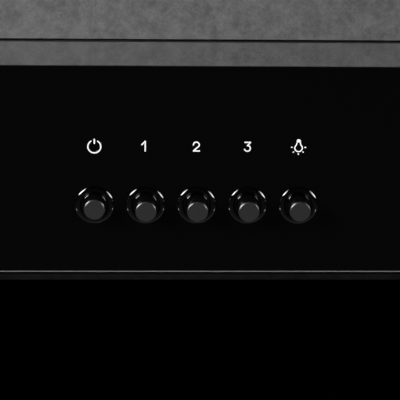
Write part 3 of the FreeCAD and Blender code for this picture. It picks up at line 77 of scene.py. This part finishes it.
class Shader:
    """A material with a principled shader, and short calls for the nodes that feed it."""

    def __init__(self, name):
        self.material = bpy.data.materials.new(name)
        self.material.use_nodes = True
        self.tree = self.material.node_tree
        self.surface = self.tree.nodes["Principled BSDF"]
        self.position = self.node("ShaderNodeTexCoord").outputs["Object"]

    def node(self, kind, **settings):
        """A new node with its settings."""
        node = self.tree.nodes.new(kind)
        for name, value in settings.items():
            setattr(node, name, value)
        return node

    def feed(self, target, source):
        """Link the source to the target, or set the target's value to it."""
        if isinstance(source, bpy.types.NodeSocket):
            self.tree.links.new(source, target)
        else:
            target.default_value = source

    def stretched(self, scale):
        """The place on the object, scaled along each axis."""
        mapping = self.node("ShaderNodeMapping")
        self.feed(mapping.inputs["Vector"], self.position)
        mapping.inputs["Scale"].default_value = scale
        return mapping.outputs["Vector"]

    def noise(self, scale, detail=2.0, stretch=(1, 1, 1), keep=0.5):
        """Noise of a scale and finer octaves, each with this much of the last one's strength."""
        noise = self.node("ShaderNodeTexNoise")
        self.feed(noise.inputs["Vector"], self.stretched(stretch))
        noise.inputs["Scale"].default_value = scale
        noise.inputs["Detail"].default_value = detail
        noise.inputs["Roughness"].default_value = keep
        return noise.outputs["Fac"]

    def ranged(self, value, low, high, new_low=0.0, new_high=1.0):
        """The value spread from one range to another, and held inside it."""
        spread = self.node("ShaderNodeMapRange")
        for name, source in zip(("Value", "From Min", "From Max", "To Min", "To Max"),
                                (value, low, high, new_low, new_high)):
            self.feed(spread.inputs[name], source)
        return spread.outputs["Result"]

    def math(self, operation, first, second=0.0):
        step = self.node("ShaderNodeMath", operation=operation)
        self.feed(step.inputs[0], first)
        self.feed(step.inputs[1], second)
        return step.outputs[0]

    def vector_math(self, operation, first, second):
        step = self.node("ShaderNodeVectorMath", operation=operation)
        self.feed(step.inputs[0], first)
        self.feed(step.inputs[1], second)
        return step

    def facing(self, slant, low, high):
        """1 on flat faces that look out of the wall and down by the slant, 0 on the others."""
        geometry = self.node("ShaderNodeNewGeometry")
        way = (0, -math.cos(slant), -math.sin(slant))
        along = self.vector_math("DOT_PRODUCT", geometry.outputs["True Normal"], way)
        return self.ranged(along.outputs["Value"], low, high)

    def scaled_colour(self, colour, factor):
        """The colour times a varying factor."""
        mix = self.node("ShaderNodeVectorMath", operation="SCALE")
        mix.inputs[0].default_value = colour
        self.feed(mix.inputs["Scale"], factor)
        return mix.outputs[0]

    def mixed(self, factor, first, second):
        """The first colour at 0, and the second at 1."""
        mix = self.node("ShaderNodeMix", data_type="RGBA")
        self.feed(mix.inputs[0], factor)
        self.feed(mix.inputs[MIX_FIRST], first)
        self.feed(mix.inputs[MIX_SECOND], second)
        return mix.outputs[MIX_RESULT]

    def bump(self, height, strength, distance):
        bump = self.node("ShaderNodeBump")
        bump.inputs["Strength"].default_value = strength
        bump.inputs["Distance"].default_value = distance
        self.feed(bump.inputs["Height"], height)
        self.feed(self.surface.inputs["Normal"], bump.outputs["Normal"])

    def set(self, **values):
        """Give the shader's inputs a value or a source, by short names."""
        for name, value in values.items():
            if name in ("colour", "glow") and isinstance(value, tuple):
                value = (*value, 1)
            self.feed(self.surface.inputs[INPUTS[name]], value)


PEEL = 0.25  # strength of the orange peel
CLOUDS, CLOUD_OCTAVES, CLOUD_SWING = 130, 4.5, 0.5  # scale per metre, finer steps, change of tone
CLEAR_COAT = 0.012  # roughness of the clear coat over the paint


def powder_coat(name, colour, rough, grain, depth=0.00006, specular=0.5, coat=0.0):
    """Satin powder coat: a fine orange-peel skin whose tone is clouded at every scale."""
    shader = Shader(name)
    fine = shader.noise(grain, 3.0)
    clouds = shader.noise(CLOUDS, CLOUD_OCTAVES, keep=1.0)
    tone = shader.ranged(clouds, 0.3, 0.7, 1 - CLOUD_SWING, 1 + CLOUD_SWING)
    shader.set(colour=shader.scaled_colour(colour, tone), rough=rough,
               specular=specular, coat=coat, coat_rough=CLEAR_COAT)
    shader.bump(fine, PEEL, depth)
    return shader.material


ARRIS_SLANT, UPWARD = math.radians(45), math.radians(-90)
ONE_FACE = (0.97, 0.98)  # a normal's likeness to a way, from none of the finish to all of it


def black_glass(name):
    """Polished black glass. Its lower arris is ground bright, and its top end is matt black."""
    shader = Shader(name)
    polished, ground_rough, matt = 0.03, 0.6, 0.9
    ground = shader.facing(TILT + ARRIS_SLANT, *ONE_FACE)
    top_end = shader.facing(UPWARD, *ONE_FACE)
    waver = shader.ranged(shader.noise(900, 2.0), 0.3, 0.7, 0.85, 1.1)
    arris = shader.scaled_colour((0.9, 0.9, 0.9), waver)
    smooth = shader.ranged(ground, 0, 1, polished, ground_rough)
    shader.set(colour=shader.mixed(ground, (0.0012, 0.0012, 0.0013, 1), arris),
               rough=shader.math("ADD", smooth, shader.ranged(top_end, 0, 1, 0, matt)),
               specular=0.3)
    return shader.material


def brushed(name, colour, rough, stretch):
    """Bare metal with fine lines along one way."""
    shader = Shader(name)
    lines = shader.noise(900, 3.0, stretch)
    shader.set(colour=shader.scaled_colour(colour, shader.ranged(lines, 0.25, 0.75, 0.85, 1.12)),
               rough=shader.ranged(lines, 0.2, 0.8, rough * 0.75, rough * 1.3), metal=1.0)
    shader.bump(lines, 0.15, 0.00005)
    return shader.material


def galvanised(name, colour):
    """Zinc-coated sheet with its faint crystal pattern."""
    shader = Shader(name)
    cells = shader.node("ShaderNodeTexVoronoi")
    shader.feed(cells.inputs["Vector"], shader.position)
    cells.inputs["Scale"].default_value = 170
    tone = shader.node("ShaderNodeSeparateColor")
    shader.feed(tone.inputs[0], cells.outputs["Color"])
    spangle = shader.ranged(tone.outputs[0], 0, 1, 0.93, 1.05)
    shader.set(colour=shader.scaled_colour(colour, spangle), metal=1.0,
               rough=shader.ranged(tone.outputs[1], 0, 1, 0.42, 0.5))
    shader.bump(shader.noise(700, 2.0), 0.08, 0.00005)
    return shader.material


def moulded(name, colour, rough, grain=1500, depth=0.00003, ior=1.5):
    """Moulded plastic or rubber with a fine spark-eroded skin."""
    shader = Shader(name)
    skin = shader.noise(grain, 2.0)
    shader.set(colour=shader.scaled_colour(colour, shader.ranged(skin, 0.3, 0.7, 0.92, 1.08)),
               rough=shader.ranged(skin, 0.2, 0.8, rough * 0.9, rough * 1.1), ior=ior)
    shader.bump(skin, 0.3, depth)
    return shader.material


TURNED_LINES = 42000  # turns of the lathe's wave, in radians per metre
CAP_SIDE, CAP_FACE, CAP_ARRIS = 0.25, 0.42, 0.1  # roughness; the arris adds its own to the side's


def turned_metal(name, middle):
    """A key cap: a satin turned face, a polished arris and a glossy black side."""
    shader = Shader(name)
    away = shader.vector_math("SUBTRACT", shader.position, middle)
    length = shader.node("ShaderNodeVectorMath", operation="LENGTH")
    shader.feed(length.inputs[0], away.outputs[0])
    rings = shader.math("SINE", shader.math("MULTIPLY", length.outputs["Value"], TURNED_LINES))
    face = shader.facing(TILT, 0.9, 0.95)
    arris = shader.math("SUBTRACT", shader.facing(TILT, 0.5, 0.6), face)
    satin = shader.scaled_colour((0.027, 0.027, 0.0275), shader.ranged(rings, -1, 1, 0.9, 1.1))
    side = shader.mixed(face, (0.002, 0.002, 0.002, 1), satin)
    smooth = shader.ranged(face, 0, 1, CAP_SIDE, CAP_FACE)
    shader.set(colour=shader.mixed(arris, side, (0.1, 0.1, 0.103, 1)), metal=arris,
               rough=shader.math("ADD", smooth, shader.ranged(arris, 0, 1, 0, CAP_ARRIS)))
    shader.bump(rings, 0.05, 0.00001)
    return shader.material


def sign_paint(name):
    """White enamel print with a painted glow: it gives off a little light of its own, so it shows a
    little brighter than the light on it, as overexposed print looks.
    """
    shader = Shader(name)
    tone = shader.ranged(shader.noise(2500, 1.0), 0.3, 0.7, 0.97, 1.0)
    # painted glow: the print emits light, though it is no lamp
    shader.set(colour=shader.scaled_colour((0.6, 0.6, 0.6), tone), rough=0.5,
               glow=(1, 1, 1), glow_strength=0.5)
    return shader.material


COATS = {
    # painted light: the chimney's coat is a lighter copy of the body's black powder coat, standing
    # in for the light on the chimney's face
    "chimney": powder_coat("chimney_coat_painted_light", (0.082, 0.082, 0.082), 0.5, 900),
    "canopy": powder_coat("canopy_coat", (0.03, 0.03, 0.03), 0.4, 900, coat=0.8),
    "lip": powder_coat("lip_lacquer", (0.006, 0.006, 0.006), 0.35, 1500, specular=0.25),
    "glass": black_glass("fascia_glass"),
    "ring": moulded("polished_ring", (0.001, 0.001, 0.001), 0.05, 2500, 0.000002, 1.75),
    "nylon": moulded("natural_nylon", (0.7, 0.68, 0.62), 0.45),
    "black_plastic": moulded("black_plastic", (0.03, 0.03, 0.03), 0.45),
    "grey_plastic": moulded("grey_plastic", (0.12, 0.12, 0.125), 0.5),
    "zinc": galvanised("galvanised_sheet", (0.6, 0.61, 0.62)),
    "aluminium": brushed("brushed_aluminium", (0.68, 0.69, 0.7), 0.3, (1, 0.03, 1)),
    "mesh": brushed("mesh_aluminium", (0.72, 0.73, 0.74), 0.28, (0.2, 1, 1)),
    # painted shade: the filter's inner layers in dark grey, for the shade between them
    "mesh_core_painted_shade": powder_coat("mesh_layers_painted_shade", (0.16, 0.16, 0.165), 0.5, 700, 0.0004),
    "bezel": brushed("satin_bezel", (0.55, 0.55, 0.56), 0.22, (0.3, 1, 1)),
    "lens": moulded("frosted_lens", (0.86, 0.86, 0.84), 0.35, 1800),
    "rubber": moulded("soft_rubber", (0.02, 0.02, 0.02), 0.7),
    "screw": brushed("plated_screw", (0.55, 0.55, 0.55), 0.3, (1, 1, 0.2)),
}
SLOT_COATS = {
    "matt_black_steel": "canopy", "satin_black_lip": "lip", "black_glass": "glass",
    "gloss_black_ring": "ring", "natural_nylon": "nylon", "black_plastic": "black_plastic",
    "grey_plastic": "grey_plastic", "zinc_steel": "zinc", "filter_aluminium": "aluminium",
    "filter_mesh": "mesh", "lamp_lens": "lens", "lamp_bezel": "bezel", "black_rubber": "rubber",
    "screw_steel": "screw",
}


def key_axis(index):
    """Where a key's axis meets the glass, in the glass's own frame."""
    return Vector(((index - MIDDLE_KEY) * KEY_PITCH, 0, KEY_RISE))


def repaint():
    """Give every CAD node its material by the slot that the record names, except the key caps,
    which get their own turned metal, and the chimney covers, which get a lighter copy of the body's
    paint as painted light.
    """
    slots = {piece["node"]: piece["material_slot"] for piece in frame["record"]["subparts"]}
    for name, node in frame["nodes"].items():
        if name.startswith(CAP):
            axis = LEAN @ key_axis(KEYS.index(name.removeprefix(CAP)))
            coat = turned_metal(f"cap_face_{name}", axis)
        elif name in ("chimney_lower", "chimney_upper"):
            # painted light: the chimney covers take the lighter copy of the body's paint instead of
            # their slot's coat
            coat = COATS["chimney"]
        else:
            coat = COATS[SLOT_COATS[slots[name]]]
        for slot in node.material_slots:
            slot.material = coat


repaint()


def add_piece(name, mesh, body, coats, place=None):
    """A new piece from a bmesh, painted with the coats, that rides on a body."""
    bmesh.ops.recalc_face_normals(mesh, faces=mesh.faces)
    data = bpy.data.meshes.new(name)
    mesh.to_mesh(data)
    mesh.free()
    for coat in coats:
        data.materials.append(coat)
    piece = bpy.data.objects.new(name, data)
    bpy.context.scene.collection.objects.link(piece)
    if place:
        piece.matrix_world = place
    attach(piece, body)
    return piece


# ----------------------------------------------------------- signs on the glass
# Millimetres in the glass's plane, from a point over the key: right, then up.

INK = 0.04  # the print's height over the glass
BAR = 0.52  # the printed line's width
LAMP_BAR, LAMP_RAY = 0.48, 0.46


def arc(centre, radius, start, end, steps=24):
    """Points on an arc, its angles in degrees, counter-clockwise from the right."""
    x, y = centre
    turns = [math.radians(start + (end - start) * step / steps) for step in range(steps + 1)]
    return [(x + radius * math.cos(turn), y + radius * math.sin(turn)) for turn in turns]


def strip(mesh, points, width=BAR):
    """A ribbon of ink with rounded ends along points that turn gently."""
    half = width / 2
    points = [Vector(point) for point in points]
    left, right = [], []
    for index, point in enumerate(points):
        before, after = points[max(index - 1, 0)], points[min(index + 1, len(points) - 1)]
        along = (after - before).normalized()
        side = Vector((-along.y, along.x)) * half
        left.append(point + side)
        right.append(point - side)
    far = half_circle(points[-1], left[-1] - points[-1])
    near = half_circle(points[0], right[0] - points[0])
    plate(mesh, left + far + right[::-1] + near)


def half_circle(centre, arm, steps=6):
    """Points of a half circle round a ribbon's end, without its two ends."""
    turns = [-math.pi * step / steps for step in range(1, steps)]
    return [centre + Vector((arm.x * math.cos(turn) - arm.y * math.sin(turn),
                             arm.x * math.sin(turn) + arm.y * math.cos(turn))) for turn in turns]


def plate(mesh, outline):
    """A thin plate of ink on the glass."""
    front = [mesh.verts.new((point[0] * MM, -INK * MM, point[1] * MM)) for point in outline]
    back = [mesh.verts.new((point[0] * MM, 0, point[1] * MM)) for point in outline]
    mesh.faces.new(front)
    mesh.faces.new(back[::-1])
    for first, second in zip(range(len(outline)), [*range(1, len(outline)), 0]):
        mesh.faces.new((front[first], back[first], back[second], front[second]))


def sign_power(mesh):
    strip(mesh, arc((-0.2, 0.16), 2.51, 121, 419, 40))
    strip(mesh, [(-0.2, 1.5), (-0.2, 3.0)], 0.58)


def sign_one(mesh):
    strip(mesh, [(0.47, 2.29), (0.47, -1.62)])
    strip(mesh, [(0.44, 2.26), (-0.85, 0.95)])


def sign_two(mesh):
    strip(mesh, arc((-0.28, 0.84), 1.14, 180, -28, 18) + [(-1.3, -1.52)])
    strip(mesh, [(-1.34, -1.6), (0.97, -1.6)])


def sign_three(mesh):
    strip(mesh, [(-1.27, 1.89), (0.86, 1.89)])
    strip(mesh, [(0.86, 1.85), (-0.25, 0.6)])
    strip(mesh, arc((-0.3, -0.56), 1.14, 85, -160, 20))


def sign_lamp(mesh):
    strip(mesh, [(-0.85, 1.5)] + arc((-0.16, -0.42), 1.46, 128, 412, 32) + [(0.53, 1.5)],
          LAMP_BAR)
    plate(mesh, [(-1.0, 1.8), (0.69, 1.8)] + arc((-0.155, 2.35), 0.84, 0, 180, 8))
    for x, z in ((-2.8, -0.14), (2.45, -0.18), (-2.12, -2.04), (1.65, -2.04), (-0.21, -2.85)):
        out = Vector((x + 0.16, z + 0.42)).normalized() * 0.12
        strip(mesh, [(x - out.x, z - out.y), (x + out.x, z + out.y)], LAMP_RAY)


SIGNS = [  # each key's drawing, and its place on the glass
    (sign_power, -39.83, 51.69), (sign_one, -20.77, 51.75), (sign_two, -0.19, 51.82),
    (sign_three, 19.73, 51.88), (sign_lamp, 39.55, 51.95),
]


def make_signs():
    """The five printed signs, each over its key."""
    paint = sign_paint("white_print_painted_glow")
    for key, (draw, x, z) in zip(KEYS, SIGNS):
        mesh = bmesh.new()
        draw(mesh)
        place = LEAN @ Matrix.Translation((x * MM, 0, z * MM))
        add_piece(f"sign_{key}", mesh, "root", [paint], place=place)


make_signs()


# ------------------------------------------------------------- filter meshes

# the core's coat is dark grey: painted shade between the mesh's inner layers
LATTICE, SHADED_CORE = 0, 1  # the coats of a mesh piece


def beam(mesh, points, width, low, high, index):
    """A flat strand along points in the XY plane, between two heights."""
    half = width / 2
    sections = []
    for x, y in points:
        corners = (x, y - half, low), (x, y + half, low), (x, y + half, high), (x, y - half, high)
        sections.append([mesh.verts.new(corner) for corner in corners])
    for first, second in zip(sections, sections[1:]):
        for corner in range(4):
            following = (corner + 1) % 4
            side = (first[corner], first[following], second[following], second[corner])
            mesh.faces.new(side).material_index = index
    for section in (sections[0], sections[-1]):
        mesh.faces.new(section).material_index = index


def make_mesh(name):
    """A grease filter's expanded aluminium: a diamond lattice on each face of the pressed inner
    layers. The inner layers are drawn as a dark grey slab, partly the real layers and partly
    painted shade for the depth between them.
    """
    low, high = (Vector(corner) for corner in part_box(f"filter_mesh_{name}"))
    layer, strand, half_long, half_short = 0.6 * MM, 1.1 * MM, 7 * MM, 3.5 * MM
    mesh = bmesh.new()
    middle = (low.y + high.y) / 2
    depth = high.y - low.y
    # the core slab, in its dark grey coat of painted shade
    beam(mesh, [(low.x, middle), (high.x, middle)], depth, low.z + layer, high.z - layer, SHADED_CORE)
    columns = round((high.x - low.x) / half_long)
    rows = round((depth - strand) / half_short)
    pitch_x, pitch_y = (high.x - low.x) / columns, (depth - strand) / rows
    start = low.y + strand / 2
    for bottom in (low.z, high.z - layer):
        for row in range(1, rows):
            points = []
            for column in range(columns + 1):
                swing = 0.5 if (row + column) % 2 else -0.5
                points.append((low.x + column * pitch_x, start + (row + swing) * pitch_y))
            beam(mesh, points, strand, bottom, bottom + layer, LATTICE)
    coats = [COATS["mesh"], COATS["mesh_core_painted_shade"]]
    piece = add_piece(f"mesh_{name}", mesh, f"filter_{name}", coats)
    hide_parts(f"filter_mesh_{name}")


for side in FILTERS:
    make_mesh(side)


# ------------------------------------------------------------- small screws

SEGMENTS = 24
SOCKET_SIDES = 6
HEAD = [  # reach of the radius, rise of the height, and whether the ring is hexagonal
    (1, 0, False), (1, 0.35, False), (0.88, 0.75, False), (0.6, 1, False),
    (0.46, 1, True), (0.46, 0.4, True),
]


FOOT_SCREW, LID_SCREW = (2.8 * MM, 1.8 * MM), (2.6 * MM, 1.6 * MM)  # radius and height


def screw_head(mesh, place, radius, height):
    """A pan head with a hexagonal socket, its seat at the place and its top along the place's Z."""
    turns = [2 * math.pi * step / SEGMENTS for step in range(SEGMENTS)]
    sixth = 2 * math.pi / SOCKET_SIDES
    sides = [math.cos(sixth / 2) / math.cos(turn % sixth - sixth / 2) for turn in turns]
    rings = []
    for reach, rise, hexed in HEAD:
        ring = []
        for turn, side in zip(turns, sides):
            arm = radius * reach * (side if hexed else 1)
            point = Vector((arm * math.cos(turn), arm * math.sin(turn), height * rise))
            ring.append(mesh.verts.new(place @ point))
        rings.append(ring)
    for lower, upper in zip(rings, rings[1:]):
        for step in range(SEGMENTS):
            following = (step + 1) % SEGMENTS
            mesh.faces.new((lower[step], lower[following], upper[following], upper[step]))
    mesh.faces.new(rings[0])
    mesh.faces.new(rings[-1])


def make_small_screws():
    """The screws of the blower box's foot and of the terminal box's lid."""
    foot_top, side_x, front_x, front_y = -108.8 * MM, 143.5 * MM, 80 * MM, -261.5 * MM
    mesh = bmesh.new()
    spots = [(side * side_x, y) for side in (-1, 1) for y in (-40 * MM, -133 * MM, -226 * MM)]
    spots += [(side * front_x, front_y) for side in (-1, 1)]
    for x, y in spots:
        screw_head(mesh, Matrix.Translation((x, y, foot_top)), *FOOT_SCREW)
    add_piece("box_foot_screws", mesh, "root", [COATS["screw"]])
    mesh = bmesh.new()
    low, high = (Vector(corner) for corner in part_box("terminal_lid"))
    inset, over = 6 * MM, Matrix.Rotation(math.pi, 4, "X")
    for x in (low.x + inset, high.x - inset):
        for y in (low.y + inset, high.y - inset):
            screw_head(mesh, Matrix.Translation((x, y, low.z)) @ over, *LID_SCREW)
    add_piece("lid_screws", mesh, "root", [COATS["screw"]])


make_small_screws()


# ------------------------------------------------------------- floor and lights

def make_floor():
    """A plain pale floor, which ends below what the photograph's view shows."""
    data = bpy.data.meshes.new("floor")
    left, right, near, far, level = -6.0, 6.0, -6.0, 1.7, -0.8
    corners = (left, near, level), (right, near, level), (right, far, level), (left, far, level)
    data.from_pydata(corners, [], [(0, 1, 2, 3)])
    shader = Shader("pale_floor")
    tone = shader.ranged(shader.noise(3.0), 0.3, 0.7, 0.97, 1.03)
    shader.set(colour=shader.scaled_colour((0.5, 0.5, 0.5), tone), rough=0.7)
    data.materials.append(shader.material)
    floor = bpy.data.objects.new("floor", data)
    bpy.context.scene.collection.objects.link(floor)


def area_light(name, azimuth, elevation, distance, width, height, power, spread, target):
    """A soft box that faces the hood. Azimuth 0 is straight in front, and 90 to the right."""
    data = bpy.data.lights.new(name, "AREA")
    data.shape = "RECTANGLE"
    data.size, data.size_y = width, height
    data.energy = power
    data.spread = math.radians(spread)
    light = bpy.data.objects.new(name, data)
    turn, rise = math.radians(azimuth), math.radians(elevation)
    away = Vector((math.sin(turn) * math.cos(rise), -math.cos(turn) * math.cos(rise),
                   math.sin(rise)))
    light.location = Vector(target) + away * distance
    light.rotation_euler = away.to_track_quat("Z", "Y").to_euler()
    bpy.context.scene.collection.objects.link(light)


CANOPY, CHIMNEY, CHIMNEY_LEFT = (0, -0.35, -0.05), (0, -0.35, 0.1), (-0.05, -0.35, 0.1)
LIGHTS = [  # name, azimuth, elevation, distance, width, height, power, spread, target
    ("key_left", -52, 12, 0.96, 0.62, 0.54, 4.4, 80, CHIMNEY_LEFT),
    ("key_right", 62, 7, 1.9, 1.45, 0.85, 3.3, 48, CHIMNEY),
    ("low_left", -65, -37, 1.1, 0.18, 0.1, 0.1, 120, CANOPY),
    ("low_right", 65, -37, 1.1, 0.18, 0.1, 0.1, 120, CANOPY),
    ("top_soft", 0, 75, 2.0, 1.6, 0.8, 3, 180, CANOPY),
    ("side_left", -125, 15, 2.2, 1.8, 1.8, 3.6, 90, CANOPY),
    ("side_right", 125, 15, 2.2, 1.8, 1.8, 3.6, 90, CANOPY),
    ("back_soft", 180, 30, 3.0, 2.0, 2.0, 8, 180, CANOPY),
]

make_floor()
for light in LIGHTS:
    area_light(*light)

world = bpy.data.worlds.new("dark_room")
world.use_nodes = True
world.node_tree.nodes["Background"].inputs["Color"].default_value = (0, 0, 0, 1)
bpy.context.scene.world = world


# ---------------------------------------------------------------------- camera

def make_camera():
    """The photograph's view: close to the keys, a little above them and from the left."""
    place = (-0.0318, -1.2350, -0.0675)
    data = bpy.data.cameras.new("camera")
    data.sensor_width, data.lens = 36, 172.61
    data.clip_start = 0.05
    data.clip_end = 60
    yaw, pitch, roll = (math.radians(angle) for angle in (2.545, 7.292, 0.432))
    ahead = Vector((math.sin(yaw) * math.cos(pitch), math.cos(yaw) * math.cos(pitch),
                    -math.sin(pitch)))
    level = Vector((math.cos(yaw), -math.sin(yaw), 0))
    upright = level.cross(ahead)
    right = level * math.cos(roll) + upright * math.sin(roll)
    up = upright * math.cos(roll) - level * math.sin(roll)
    camera = bpy.data.objects.new("camera", data)
    turn = Matrix((right, up, -ahead)).transposed().to_4x4()
    camera.matrix_world = Matrix.Translation(place) @ turn
    bpy.context.scene.collection.objects.link(camera)
    bpy.context.scene.camera = camera


make_camera()
bpy.context.scene.view_settings.view_transform = "Standard"
